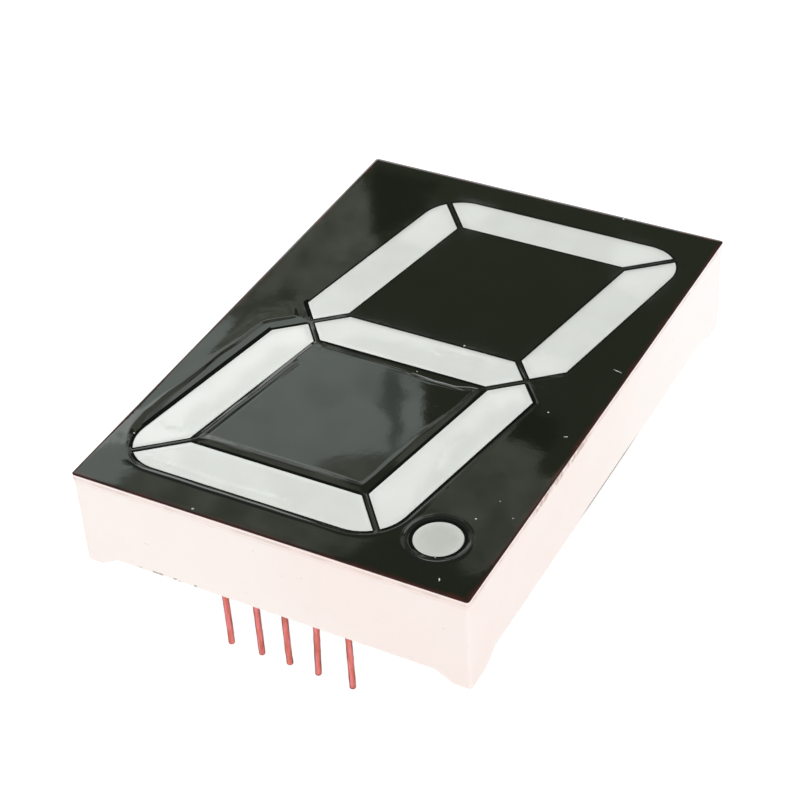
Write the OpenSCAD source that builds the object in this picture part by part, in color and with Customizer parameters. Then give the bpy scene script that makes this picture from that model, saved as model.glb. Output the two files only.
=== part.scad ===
// Single-digit seven segment display with a decimal point, for through-hole boards.
// The face looks along +Z and the top of the digit is towards +Y. The origin is in the
// middle of the ten pins, on the plane where the four corner feet meet a circuit board.

/* [Package] */
// Width of the housing, across the digit
body_w = 32; // [27:0.5:40]
// Length of the housing, along the digit
body_l = 46.7; // [38:0.1:60]
// Height from the feet to the front of the face film
body_h = 8.3; // [6.8:0.1:14]
// Thickness of the side walls of the housing
wall = 0.9; // [0.7:0.05:1.1]
// Thickness of the front plate of the housing
plate_t = 1; // [0.8:0.1:1.4]
// Radius of the four upright edges
edge_r = 0.25; // [0.2:0.05:0.8]
// Height of the rim that runs round the housing below its face
rim_h = 0.6; // [0.4:0.1:1]
// How far that rim stands out from the walls
rim_step = 0.06; // [0.04:0.01:0.15]
// Thickness of the black face film
film_t = 0.1; // [0.05:0.01:0.2]

/* [Feet] */
// Height of the corner feet, which is how far the walls clear the board below
foot_h = 0.85; // [0.6:0.05:1.2]
// Flat end of a foot, across the digit
foot_w = 1.4; // [1:0.1:3]
// Flat end of a foot, along the digit
foot_l = 2.4; // [1:0.1:4]
// Run of the slope from a foot up to the edge of the wall
foot_slope = 1.5; // [0.8:0.1:3]

/* [Digit] */
// Plain face beyond the top and the bottom of the digit
end_border = 3.05; // [2.8:0.05:6]
// Plain face beside the outermost corners of the digit
side_border = 1.3; // [1:0.05:3]
// Width of a segment, square to its length
seg_w = 3.65; // [3:0.05:4.4]
// Width of the black line between two segments
seg_gap = 0.5; // [0.4:0.05:0.8]
// Lean of the digit, in degrees
slant = 9.8; // [0:0.1:12]
// Radius of the outer corners at the top left and the bottom right of the digit
blunt_r = 3.55; // [2.5:0.05:4]
// Radius of the outer corners at the top right and the bottom left of the digit
sharp_r = 3.1; // [2.5:0.05:4]
// Diameter of the decimal point
dot_d = 3.6; // [2.8:0.1:4]
// Gap between the digit and the decimal point, measured across
dot_gap = 1.5; // [1.2:0.05:2]

/* [Light chambers] */
// How much narrower a chamber is all round where it meets the board
chamber_taper = 0.7; // [0.4:0.05:0.9]
// Thickness of the wall round the chambers
chamber_wall = 0.6; // [0.4:0.05:0.7]
// How far a light guide lies below the front of the face film
guide_sink = 0.05; // [0.02:0.01:0.05]

/* [Circuit board] */
// Thickness of the circuit board
board_t = 1.6; // [1:0.1:1.6]
// How far the board lies above the lower edge of the walls
board_sink = 0.5; // [0.5:0.05:0.8]
// Gap between the edge of the board and the walls
board_clear = 0.1; // [0.05:0.05:0.2]
// Radius of a heat stake where it passes through the board
stake_r = 0.75; // [0.6:0.05:1]
// Radius of the pillar that a heat stake stands on
pillar_r = 1.5; // [1.2:0.05:1.8]
// Radius of the formed head of a heat stake
stake_head_r = 1.35; // [1.2:0.05:1.6]
// Height of that head
stake_head_h = 0.55; // [0.4:0.05:0.6]

/* [Pins] */
// Diameter of a pin
pin_d = 0.5; // [0.4:0.05:0.6]
// Side of the square root of a pin, which passes through the board
pin_root_w = 0.5; // [0.4:0.02:0.52]
// Distance between neighbouring pins in a row
pin_pitch = 2.54; // [2:0.01:2.54]
// Distance from the end of the housing to the row of pins
pin_setback = 1.76; // [1.7:0.01:2]
// Length of a pin below the feet
pin_len = 6; // [3:0.1:15]
// Diameter of the upset head of a pin
pin_head_d = 1; // [0.9:0.05:1.1]
// Thickness of that head
pin_head_t = 0.3; // [0.2:0.05:0.5]
// Gap between a hole in the board and the corners of a pin's root, or a heat stake
hole_clear = 0.05; // [0.03:0.01:0.07]
// Outer radius of a solder joint
solder_r = 0.68; // [0.6:0.02:0.74]
// Height of a solder joint
solder_h = 0.7; // [0.5:0.05:0.75]

/* [Light-emitting dice] */
// Side of a die
die_w = 0.3; // [0.2:0.05:0.4]
// Height of a die
die_h = 0.25; // [0.15:0.05:0.3]
// Diameter of a bond wire
wire_d = 0.04; // [0.03:0.01:0.06]
// Reach of a bond wire, from its die to its pad
wire_reach = 0.8; // [0.6:0.1:1]
// Gap between the resin and the die and wire that it encloses
pocket_clear = 0.05; // [0.02:0.01:0.1]

/* [Hidden] */
$fn = 48;

// Colours
shell_white = [0.99, 0.94, 0.92];
film_black = [0.14, 0.14, 0.13];
guide_white = [0.85, 0.88, 0.85];
dot_grey = [0.78, 0.80, 0.78];
board_green = [0.12, 0.36, 0.22];
die_amber = [0.85, 0.55, 0.30];
wire_gold = [0.90, 0.72, 0.30];
solder_grey = [0.72, 0.73, 0.74];
pin_copper = [0.85, 0.43, 0.40];

// Levels, from the feet upwards
board_rear = foot_h + board_sink;
board_front = board_rear + board_t;
face_z = body_h - film_t;
guide_top = body_h - guide_sink;
cut = 1;  // how far a cut runs past the face that it leaves

// The digit, which leans about the origin
digit_h = body_l - 2 * end_border;
lean = tan(slant);
half_w = body_w / 2 - side_border - digit_h / 2 * lean;
mitre = (90 - slant) / 2;
loop_y = (digit_h - seg_w) / 4;
dot_r = dot_d / 2;
dot_y = dot_r - digit_h / 2;
dot_at = [half_w + dot_y * lean + dot_gap + dot_r, dot_y];
arc_steps = 5;
film_clear = 0.02;
die_spread = digit_h / 12;

// The pins and the board
root_below = 0.05;
pin_r = pin_d / 2;
root_r = pin_root_w / sqrt(2);
root_end = board_rear - solder_h - root_below;
pins_in_row = 5;
row_y = body_l / 2 - pin_setback;
board_w = body_w - 2 * (wall + board_clear);
board_l = body_l - 2 * (wall + board_clear);
board_corner_r = 0.3;
stake_x = (half_w - loop_y * lean + chamber_wall + body_w / 2 - wall) / 2;
STAKES = [[loop_y * lean, loop_y], [-loop_y * lean, -loop_y],
    [stake_x, -loop_y], [-stake_x, loop_y]];
solder_steps = 5;
dome_steps = 5;
dome_end = 75;
solder_lip = 0.05;

// ---- The outline of the digit -------------------------------------------------------
// A line is [outward direction in degrees, distance from the origin]. An outline is made
// of such lines, so moving each of them inwards by t insets the whole outline by t.

function line_through(direction, p, back = 0) =
    [direction, p[0] * cos(direction) + p[1] * sin(direction) - back];

// Where two lines meet once both have moved inwards by t
function meet(l1, l2, t = 0) =
    let (d1 = l1[1] - t, d2 = l2[1] - t, turn = sin(l2[0] - l1[0]))
    [(d1 * sin(l2[0]) - d2 * sin(l1[0])) / turn, (d2 * cos(l1[0]) - d1 * cos(l2[0])) / turn];

function arc(c, r, from, to) =
    [for (i = [0:arc_steps]) let (a = from + (to - from) * i / arc_steps)
        [c[0] + r * cos(a), c[1] + r * sin(a)]];

// A round corner about c, between the direction of a straight edge and a mitre line;
// side is 1 where the corner starts at the mitre and -1 where it ends there
function corner(l, c, r, edge_direction, t, side) =
    let (off = l[1] - t - c[0] * cos(l[0]) - c[1] * sin(l[0]),
        at_mitre = l[0] + side * acos(off / (r - t)))
    side > 0 ? arc(c, r - t, at_mitre, edge_direction) : arc(c, r - t, edge_direction, at_mitre);

// Edges of the digit, the middle joint on its left and the centres of its round corners
top_edge = [90, digit_h / 2];
top_inner = [270, seg_w - digit_h / 2];
bottom_edge = [270, digit_h / 2];
left_edge = line_through(180 - slant, [-half_w, 0]);
left_inner = line_through(-slant, [-half_w, 0], -seg_w);
right_edge = line_through(-slant, [half_w, 0]);
middle_top = [90, seg_w / 2];
middle_bottom = [270, seg_w / 2];
joint = [seg_w / 2 / cos(slant) - half_w, 0];
blunt_c = meet(top_edge, left_edge, blunt_r);
right_c = meet(top_edge, right_edge, sharp_r);
left_c = meet(bottom_edge, left_edge, sharp_r);

// Mitre lines, each half a gap clear of the line that halves its corner
top_right = line_through(mitre - 90, meet(top_edge, right_edge), seg_gap / 2);
top_left = line_through(mitre + 180, meet(top_edge, left_edge), seg_gap / 2);
upper_top = line_through(mitre, meet(top_edge, left_edge), seg_gap / 2);
lower_bottom = line_through(mitre + 270, meet(bottom_edge, left_edge), seg_gap / 2);
joint_mitres = [for (turn = [0, 90, 180, 270]) line_through(mitre + turn, joint, seg_gap / 2)];

// The bar across the top, which also makes the bottom one
function bar_outline(t) = concat(
    corner(top_right, right_c, sharp_r, 90, t, 1),
    corner(top_left, blunt_c, blunt_r, 90, t, -1),
    [meet(top_left, top_inner, t), meet(top_inner, top_right, t)]);

// The upright at the upper left, which also makes the one at the lower right
function upper_outline(t) = concat(
    [meet(left_inner, upper_top, t)],
    corner(upper_top, blunt_c, blunt_r, 180 - slant, t, 1),
    [meet(left_edge, joint_mitres[2], t), meet(joint_mitres[2], joint_mitres[3], t),
        meet(joint_mitres[3], left_inner, t)]);

// The upright at the lower left, which also makes the one at the upper right
function lower_outline(t) = concat(
    [meet(left_inner, joint_mitres[0], t), meet(joint_mitres[0], joint_mitres[1], t),
        meet(joint_mitres[1], left_edge, t)],
    corner(lower_bottom, left_c, sharp_r, 180 - slant, t, -1),
    [meet(lower_bottom, left_inner, t)]);

// The middle bar: its left half, then the same turned half round
function middle_outline(t) =
    let (left = [meet(middle_top, joint_mitres[1], t), meet(joint_mitres[1], joint_mitres[2], t),
        meet(joint_mitres[2], middle_bottom, t)])
    concat(left, -left);

function outline(name, t = 0) =
    name == "a" ? bar_outline(t) :
    name == "b" ? -lower_outline(t) :
    name == "c" ? -upper_outline(t) :
    name == "d" ? -bar_outline(t) :
    name == "e" ? lower_outline(t) :
    name == "f" ? upper_outline(t) : middle_outline(t);

// The outline round the whole digit: its upper left half, then the same turned half round
function digit_outline(t) =
    let (half = concat(arc(right_c, sharp_r - t, -slant, 90), arc(blunt_c, blunt_r - t, 90, 180 - slant)))
    concat(half, -half);

// The plain field inside the upper loop of the digit, which also makes the lower one
loop_edges = [line_through(-slant, [half_w, 0], seg_w), [90, digit_h / 2 - seg_w],
    line_through(180 - slant, [-half_w, 0], seg_w), [270, -seg_w / 2]];
function loop_outline(t) = [for (i = [0:3]) meet(loop_edges[i], loop_edges[(i + 1) % 4], t)];

SEGMENTS = ["a", "b", "c", "d", "e", "f", "g"];

// Middle and direction of each segment on the board, where its dice stand
function seg_middle(name) =
    let (bar_y = (digit_h - seg_w) / 2, up = [digit_h / 4 * lean, digit_h / 4])
    name == "a" ? [bar_y * lean, bar_y] :
    name == "b" ? up - joint :
    name == "c" ? -up - joint :
    name == "d" ? [-bar_y * lean, -bar_y] :
    name == "e" ? joint - up :
    name == "f" ? joint + up : [0, 0];
function seg_turn(name) = search(name, "bcef") == [] ? 0 : 90 - slant;

// ---- Shared shapes ------------------------------------------------------------------

// A solid skinned over rings of points, given from the lowest to the highest
module skin(outlines, levels) {
    n = len(outlines[0]);
    top = len(outlines) - 1;
    points = [for (k = [0:top]) for (p = outlines[k]) [p[0], p[1], levels[k]]];
    sides = [for (k = [0:top - 1]) for (i = [0:n - 1])
        let (j = (i + 1) % n, low = k * n, high = (k + 1) * n)
        each [[low + i, high + j, low + j], [low + i, high + i, high + j]]];
    floor_face = [for (i = [0:n - 1]) i];
    roof_face = [for (i = [n - 1:-1:0]) top * n + i];
    polyhedron(points, concat([floor_face], sides, [roof_face]));
}

module rounded_plate(w, l, r, t) {
    corners = [[1, 1, 0], [-1, 1, 90], [-1, -1, 180], [1, -1, 270]];
    linear_extrude(t) polygon([for (k = corners)
        each arc([k[0] * (w / 2 - r), k[1] * (l / 2 - r)], r, k[2], k[2] + 90)]);
}

// The flat outline of every opening in the face, moved inwards by t
module openings(t) {
    for (name = SEGMENTS) polygon(outline(name, t));
    translate(dot_at) circle(dot_r - t);
}

// Places of the dice behind one opening: the middle of the decimal point, or two along
// a segment; each is [place, turn], with +X along the segment
function die_places(name) =
    name == "dot" ? [[dot_at, 0]] :
    [for (side = [-1, 1]) let (turn = seg_turn(name), reach = side * die_spread)
        [seg_middle(name) + reach * [cos(turn), sin(turn)], turn]];

module at_dice(name) {
    for (place = die_places(name))
        translate(concat(place[0], board_front)) rotate(place[1]) children();
}

module die() {
    translate([-(wire_reach + die_w) / 2, -die_w / 2, 0]) cube([die_w, die_w, die_h]);
}

// The hollow in the resin that a die and its wire fill
module die_pocket() {
    long = wire_reach + die_w + 2 * pocket_clear;
    wide = die_w + 2 * pocket_clear;
    translate([-long / 2, -wide / 2, -cut])
        cube([long, wide, cut + die_h + (wire_reach + wire_d) / 2 + pocket_clear]);
}

// A bond wire: half a ring from the top of the die, then straight down to its pad
module bond_wire() {
    r = wire_d / 2;
    translate([0, 0, die_h]) rotate([90, 0, 0])
        rotate_extrude(angle = 180) translate([wire_reach / 2, 0]) circle(r, $fn = 16);
    translate([wire_reach / 2, 0, 0]) cylinder(r = r, h = die_h, $fn = 16);
}

// ---- Housing ------------------------------------------------------------------------
// One white moulding: a shallow box open at the rear, whose front plate carries a
// tapered light chamber behind each segment.

module shell() {
    wall_w = body_w - 2 * rim_step;
    wall_l = body_l - 2 * rim_step;
    difference() {
        union() {
            rounded_plate(wall_w, wall_l, edge_r, face_z);
            translate([0, 0, face_z - rim_h]) rounded_plate(body_w, body_l, edge_r, rim_h);
        }
        translate([0, 0, -cut])
            rounded_plate(body_w - 2 * wall, body_l - 2 * wall, board_corner_r, face_z - plate_t + cut);
        rotate([90, 0, 0]) foot_gap(body_w / 2 - foot_w, body_l);
        rotate([90, 0, 90]) foot_gap(body_l / 2 - foot_l, body_w);
    }
}

// The gap under a wall between two feet, with sloping ends
module foot_gap(half, through) {
    low = half + foot_slope * cut / foot_h;
    high = half - foot_slope;
    translate([0, 0, -through]) linear_extrude(2 * through)
        polygon([[-low, -cut], [low, -cut], [high, foot_h], [-high, foot_h]]);
}

// How much narrower the chambers are at a given level than at the face
function taper_at(z) = chamber_taper * (face_z - z) / (face_z - board_front);

// The block round the chambers, open inside the two loops of the digit; its sides are
// parallel to the chambers, so that the walls are of one thickness
module chamber_walls() {
    top = face_z - plate_t / 2;
    loop_levels = [board_front - cut, face_z];
    difference() {
        skin([for (z = [board_front, top]) digit_outline(taper_at(z) - chamber_wall)], [board_front, top]);
        for (side = [1, -1])
            skin([for (z = loop_levels) side * loop_outline(chamber_wall - taper_at(z))], loop_levels);
    }
    translate(concat(dot_at, board_front))
        cylinder(r1 = dot_r + chamber_wall - taper_at(board_front), r2 = dot_r + chamber_wall - taper_at(top),
            h = top - board_front);
}

module chambers() {
    for (name = SEGMENTS)
        skin([for (t = [chamber_taper, chamber_taper, 0, 0]) outline(name, t)],
            [board_front - cut, board_front, face_z, face_z + cut]);
    translate(concat(dot_at, board_front - cut)) cylinder(r = dot_r - chamber_taper, h = 2 * cut);
    dot_chamber();
    translate(concat(dot_at, face_z - cut)) cylinder(r = dot_r, h = 2 * cut);
}

module dot_chamber() {
    translate(concat(dot_at, board_front))
        cylinder(r1 = dot_r - chamber_taper, r2 = dot_r, h = face_z - board_front);
}

// A pillar that the board rests on, its stem through the board and its formed head
module heat_stake() {
    translate([0, 0, board_front]) cylinder(r = pillar_r, h = face_z - plate_t / 2 - board_front);
    translate([0, 0, board_rear - stake_head_h / 2])
        cylinder(r = stake_r, h = board_t + stake_head_h);
    translate([0, 0, board_rear]) rotate_extrude() polygon(concat([[0, -stake_head_h], [0, 0]],
        [for (i = [0:dome_steps]) let (a = dome_end * i / dome_steps)
            [stake_head_r * cos(a), -stake_head_h * sin(a) / sin(dome_end)]]));
}

module housing() {
    color(shell_white) {
        difference() {
            union() {
                shell();
                chamber_walls();
            }
            chambers();
        }
        for (p = STAKES) translate(p) heat_stake();
    }
}

// ---- Face film ----------------------------------------------------------------------

module face_mask() {
    color(film_black) translate([0, 0, face_z]) difference() {
        rounded_plate(body_w, body_l, edge_r, film_t);
        translate([0, 0, -cut]) linear_extrude(film_t + 2 * cut) openings(0);
    }
}

// ---- Light guides -------------------------------------------------------------------
// Clear resin with a white diffuser, cast into the chambers over the dice.

module light_guide(name) {
    color(guide_white) difference() {
        skin([outline(name, chamber_taper), outline(name), outline(name, film_clear),
            outline(name, film_clear)], [board_front, face_z, face_z + film_clear, guide_top]);
        at_dice(name) die_pocket();
    }
}

module segment_a() light_guide("a");
module segment_b() light_guide("b");
module segment_c() light_guide("c");
module segment_d() light_guide("d");
module segment_e() light_guide("e");
module segment_f() light_guide("f");
module segment_g() light_guide("g");

module decimal_point() {
    color(dot_grey) difference() {
        union() {
            dot_chamber();
            translate(concat(dot_at, face_z)) cylinder(r = dot_r - film_clear, h = guide_top - face_z);
        }
        at_dice("dot") die_pocket();
    }
}

// ---- Circuit board, dice and wires --------------------------------------------------

module circuit_board() {
    color(board_green) difference() {
        translate([0, 0, board_rear]) rounded_plate(board_w, board_l, board_corner_r, board_t);
        for (i = [1:2 * pins_in_row]) translate(pin_place(i)) cylinder(r = root_r + hole_clear, h = body_h);
        for (p = STAKES) translate(p) cylinder(r = stake_r + hole_clear, h = body_h);
    }
}

module led_dice() {
    color(die_amber) for (name = concat(SEGMENTS, ["dot"])) at_dice(name) die();
}

module bond_wires() {
    color(wire_gold) for (name = concat(SEGMENTS, ["dot"])) at_dice(name) bond_wire();
}

// ---- Pins and their solder ----------------------------------------------------------
// Pins 1 to 5 run left to right along the bottom, and 6 to 10 back along the top.

function pin_place(i) =
    let (x = (i - (pins_in_row + 1) / 2) * pin_pitch)
    i <= pins_in_row ? [x, -row_y] : [(2 * pins_in_row + 1 - i - (pins_in_row + 1) / 2) * pin_pitch, row_y];

// The square root of a pin, pressed out of the round wire, up to a given level
module pin_root(low, high) {
    translate([-pin_root_w / 2, -pin_root_w / 2, low]) cube([pin_root_w, pin_root_w, high - low]);
}

// A round pin with a square root, an upset head on the board and a rounded tip
module pin(i) {
    color(pin_copper) translate(pin_place(i)) {
        translate([0, 0, pin_r - pin_len]) {
            cylinder(r = pin_r, h = pin_len - pin_r + root_end);
            sphere(pin_r);
        }
        pin_root(root_end, board_front + pin_head_t / 2);
        translate([0, 0, board_front]) cylinder(d = pin_head_d, h = pin_head_t);
    }
}

module pin_1() pin(1);
module pin_2() pin(2);
module pin_3() pin(3);
module pin_4() pin(4);
module pin_5() pin(5);
module pin_6() pin(6);
module pin_7() pin(7);
module pin_8() pin(8);
module pin_9() pin(9);
module pin_10() pin(10);

// A hollow-sided cone of solder that wets the board and climbs the pin
module solder_joint() {
    climb = [for (i = [0:solder_steps]) let (a = 90 * i / solder_steps)
        [solder_r - (solder_r - root_r - solder_lip) * sin(a), -solder_h * (1 - cos(a))]];
    difference() {
        rotate_extrude() polygon(concat([[0, -solder_h], [0, 0]], climb));
        pin_root(-solder_h - cut, cut);
    }
}

module solder_joints() {
    color(solder_grey) for (i = [1:2 * pins_in_row])
        translate(concat(pin_place(i), board_rear)) solder_joint();
}

housing();
face_mask();
segment_a();
segment_b();
segment_c();
segment_d();
segment_e();
segment_f();
segment_g();
decimal_point();
circuit_board();
led_dice();
bond_wires();
solder_joints();
pin_1();
pin_2();
pin_3();
pin_4();
pin_5();
pin_6();
pin_7();
pin_8();
pin_9();
pin_10();
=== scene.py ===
"""A single-digit seven segment display, face up on its ten pins, on a light table."""
import math

import bmesh
import bpy
import numpy as np
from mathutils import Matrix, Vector, geometry, noise


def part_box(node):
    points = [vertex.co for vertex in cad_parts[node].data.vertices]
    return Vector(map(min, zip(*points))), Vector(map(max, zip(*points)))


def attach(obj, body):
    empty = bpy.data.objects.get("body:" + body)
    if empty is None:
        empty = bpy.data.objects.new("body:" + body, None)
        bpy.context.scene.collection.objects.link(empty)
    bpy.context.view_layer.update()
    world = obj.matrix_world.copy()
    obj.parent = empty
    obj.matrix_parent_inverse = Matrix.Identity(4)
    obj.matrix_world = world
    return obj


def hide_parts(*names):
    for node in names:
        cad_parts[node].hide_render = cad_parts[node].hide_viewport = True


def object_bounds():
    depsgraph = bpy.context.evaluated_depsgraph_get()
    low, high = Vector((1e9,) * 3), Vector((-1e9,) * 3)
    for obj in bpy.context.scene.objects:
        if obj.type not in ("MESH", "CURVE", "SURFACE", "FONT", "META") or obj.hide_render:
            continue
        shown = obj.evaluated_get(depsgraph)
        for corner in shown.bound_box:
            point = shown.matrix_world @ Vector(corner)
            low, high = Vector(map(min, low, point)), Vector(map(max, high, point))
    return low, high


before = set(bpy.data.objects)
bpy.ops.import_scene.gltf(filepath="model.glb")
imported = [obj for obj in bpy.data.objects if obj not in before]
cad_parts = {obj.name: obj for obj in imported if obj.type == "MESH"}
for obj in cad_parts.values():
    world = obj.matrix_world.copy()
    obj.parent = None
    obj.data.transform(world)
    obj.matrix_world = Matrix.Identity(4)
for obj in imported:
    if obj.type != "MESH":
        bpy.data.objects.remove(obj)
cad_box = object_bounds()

# ---- Camera -------------------------------------------------------------------------
# It looks down on the face from the front right, from about 17 cm away, with a long
# lens and a slight tilt of the head.
MM = 0.001
camera = bpy.data.objects.new("camera", bpy.data.cameras.new("camera"))
camera.data.lens = 95.88
camera.location = Vector((63.97, -114.05, 106.19)) * MM
camera.rotation_euler = [math.radians(turn) for turn in (51.818, 2.74, 27.789)]
bpy.context.scene.collection.objects.link(camera)
bpy.context.scene.camera = camera


# ---- Housing ------------------------------------------------------------------------
# One injection moulding in white plastic with a faint pink warmth, satin from the
# spark-eroded mould, with a little dirt and painted shade under the rim, painted shadow
# lines along the lower edge of the near walls, and painted light on the far right wall.
class Wire:
    """An output of a node. A sum of wires adds its Math nodes to their material."""

    def __init__(self, tree, socket=None):
        self.tree = tree
        self.socket = socket

    def node(self, kind, settings, sockets, output=0):
        """Adds any other node, sets it up and returns the wire from one of its outputs."""
        made = self.tree.nodes.new("ShaderNode" + kind)
        for name, value in settings.items():
            setattr(made, name, value)
        self.fill(made, sockets)
        return Wire(self.tree, made.outputs[output])

    def fill(self, node, sockets):
        """Links or sets the sockets of a node."""
        for name, value in sockets.items():
            if isinstance(value, Wire):
                self.tree.links.new(value.socket, node.inputs[name])
            else:
                node.inputs[name].default_value = value

    def maths(self, operation, first, second):
        return self.node("Math", {"operation": operation}, {0: first, 1: second})

    def __add__(self, other):
        return self.maths("ADD", self, other)

    def __sub__(self, other):
        return self.maths("SUBTRACT", self, other)

    def __rsub__(self, other):
        return self.maths("SUBTRACT", other, self)

    def __mul__(self, other):
        return self.maths("MULTIPLY", self, other)

    __radd__ = __add__
    __rmul__ = __mul__

    def step(self, low, high):
        """A smooth step from 0 to 1 as the value goes from low to high."""
        return self.node("MapRange", {"interpolation_type": "SMOOTHSTEP"},
                         {"Value": self, "From Min": low, "From Max": high})

    def band(self, start, full, fading, gone):
        """1 from full to fading, and 0 before start and past gone."""
        return self.step(start, full) * (1 - self.step(fading, gone))

    def grain(self, scale, detail=2.0, stretch=(1, 1, 1)):
        """Noise over a place in millimetres, with that many features to a millimetre."""
        place = self.node("VectorMath", {"operation": "MULTIPLY"}, {0: self, 1: stretch})
        return self.node("TexNoise", {}, {"Vector": place, "Scale": scale, "Detail": detail})

    def colour(self, bare, full):
        """A colour that goes from bare to full as the value goes from 0 to 1."""
        return self.node("Mix", {"data_type": "RGBA"}, {0: self, 6: bare, 7: full}, 2)

    def relief(self):
        """The normal of a surface raised by the value, in millimetres."""
        return self.node("Bump", {}, {"Height": self, "Distance": MM})


class Finish:
    """A material, with the place on the piece in millimetres and its three parts."""

    def __init__(self, name):
        self.material = bpy.data.materials.new(name)
        self.material.use_nodes = True
        tree = self.material.node_tree
        self.shader = tree.nodes["Principled BSDF"]
        metres = Wire(tree).node("TexCoord", {}, {}, "Object")
        self.place = metres.node("VectorMath", {"operation": "SCALE"}, {0: metres, "Scale": 1 / MM})
        self.x, self.y, self.z = [
            self.place.node("SeparateXYZ", {}, {0: self.place}, axis) for axis in "XYZ"]

    def set(self, **sockets):
        """Fills the shader; the name of a socket is written with _ for a space."""
        self.place.fill(self.shader, {name.replace("_", " "): value for name, value in sockets.items()})


def dress(node, finish):
    """Gives a CAD node its material, on the object and not on its mesh."""
    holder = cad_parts[node].material_slots[0]
    holder.link = "OBJECT"
    holder.material = finish.material


side_x, end_y = cad_box[1].x / MM, cad_box[1].y / MM
face_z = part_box("face_mask")[0].z / MM
rim_z = face_z - 0.6
wall_low = 0.85
shell_white = (0.93, 0.85, 0.81, 1)
shell_pink = (0.91, 0.77, 0.725, 1)
shell_painted_light = (0.955, 0.905, 0.88, 1)
light_dirt_and_shade = (0.55, 0.42, 0.37, 1)
painted_shadow_dark = (0.16, 0.13, 0.125, 1)

shell = Finish("shell_plastic")
blush = shell.place.grain(0.12, 3).step(0.42, 0.66)
on_rim = shell.z.step(rim_z - 0.03, rim_z + 0.03)
on_right = shell.x.step(side_x - 0.8, side_x - 0.2)
on_front = 1 - shell.y.step(-end_y + 0.15, -end_y + 0.55)
pinker_front_right = shell.x.step(-6, 15) * (1 - shell.y.step(-20, 10))
painted_light_far_right = on_right * shell.y.step(-4, 20)

# Dirt lies in a brown line under the film and in fine specks; the grainy darkening under
# the rim is partly dirt and partly painted shade
under_rim_shade = shell.z.step(rim_z - 0.16, rim_z - 0.02) * (1 - on_rim)
grime_and_shade = under_rim_shade * shell.place.grain(1.4, 3).step(0.35, 0.7) * 0.55
lip_wander = shell.z + 0.1 * shell.place.grain(0.25, 2)
lip = lip_wander.band(face_z - 0.42, face_z - 0.32, face_z - 0.16, face_z - 0.08)
lip_line = lip * (0.3 + 0.7 * shell.place.grain(0.5, 3).step(0.4, 0.6)) * 0.42
specks = shell.place.grain(2.6, 1).step(0.77, 0.82) * 0.3

# The right wall is rubbed under the film; both near walls carry a painted shadow line
# along their lower edge, broken into dashes on the front one
rubbed = on_right * shell.y.band(-14, -12, -5, -3)
crumbs = rubbed * shell.z.step(face_z - 0.6, face_z - 0.5) * shell.place.grain(2.4, 3).step(0.42, 0.56) * 0.9
low_edge = shell.z.band(wall_low - 0.08, wall_low, wall_low + 0.14, wall_low + 0.22)
low_shadow_right = on_right * shell.y.band(-5.5, -3, 3, 7) * 0.8
front_shadow_span = on_front * shell.x.band(-12, -10, -6.4, -6)
low_shadow_dashes = front_shadow_span * shell.place.grain(1.3, 3).step(0.5, 0.58) * 0.7
# Towards its right end the front wall is darker and pinker
shell_tone = (blush * 0.25 + on_rim * 0.5 + pinker_front_right * 0.4).colour(shell_white, shell_pink)
# The far part of the right wall is paler: painted light
clean_shell = painted_light_far_right.colour(shell_tone, shell_painted_light)
soiled_shell = (grime_and_shade + lip_line + specks + crumbs).colour(clean_shell, light_dirt_and_shade)
shell.set(
    Base_Color=(low_edge * (low_shadow_right + low_shadow_dashes)).colour(soiled_shell, painted_shadow_dark),
    Roughness=0.40 + 0.16 * shell.place.grain(0.5, 3),
    Normal=(0.004 * shell.place.grain(7, 2) + 0.03 * shell.place.grain(0.25, 2)).relief(),
    Subsurface_Weight=0.12,
    Subsurface_Radius=(0.9 * MM, 0.6 * MM, 0.5 * MM),
    IOR=1.46,
)
dress("housing", shell)

# ---- Circuit board ------------------------------------------------------------------
# Glass-filled laminate under green solder resist, pushed in from the rear and held by
# the melted heads of the heat stakes. The weave shows faintly through the resist.
board = Finish("board_laminate")
weave = (board.x.maths("SINE", board.x * 9, 0) * board.y.maths("SINE", board.y * 9, 0)) * 0.5 + 0.5
cloud = board.place.grain(0.3, 3)
board.set(
    Base_Color=(0.35 * weave + 0.65 * cloud).colour((0.012, 0.085, 0.035, 1), (0.03, 0.16, 0.07, 1)),
    Roughness=0.26 + 0.2 * cloud,
    Normal=(0.002 * weave + 0.003 * board.place.grain(3, 2)).relief(),
)
dress("circuit_board", board)


# ---- Tracks and pads ----------------------------------------------------------------
# Copper under the resist, which lifts it a little, from each pin to its segment; the
# pads round the pins and the plated holes at the far ends are bare and tinned.
def make_object(name, shape, finish):
    """Makes an object of a finished shape, in one finish."""
    mesh = bpy.data.meshes.new(name)
    shape.to_mesh(mesh)
    shape.free()
    mesh.materials.append(finish.material)
    made = bpy.data.objects.new(name, mesh)
    bpy.context.scene.collection.objects.link(made)
    return made


def add_piece(name, shape, finish, slot, *nodes):
    """Makes a piece that rides on the display, and stands for the CAD nodes it names."""
    piece = make_object(name, shape, finish)
    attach(piece, "root")
    if nodes:
        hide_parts(*nodes)
    return piece


def add_track(shape, route, width, level, height):
    """A strip with sloping sides under the board, along a route in millimetres."""
    route = np.array([complex(*point) for point in route])
    ahead = np.diff(route) / abs(np.diff(route))
    before, after = np.insert(ahead, 0, ahead[0]), np.append(ahead, ahead[-1])
    across = 1j * (before + after) / (1 + (before.conj() * after).real)
    rows = []
    for point, side in zip(route, across * width / 2):
        bases = [(point - side, 0), (point - 0.85 * side, height),
                 (point + 0.85 * side, height), (point + side, 0)]
        rows.append([shape.verts.new(Vector((p.real, p.imag, level - drop)) * MM) for p, drop in bases])
    for low, high in zip(rows, rows[1:]):
        for k in range(4):
            shape.faces.new((low[k], low[k - 1], high[k - 1], high[k]))
    shape.faces.new(rows[0])
    shape.faces.new(rows[-1][::-1])


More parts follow.
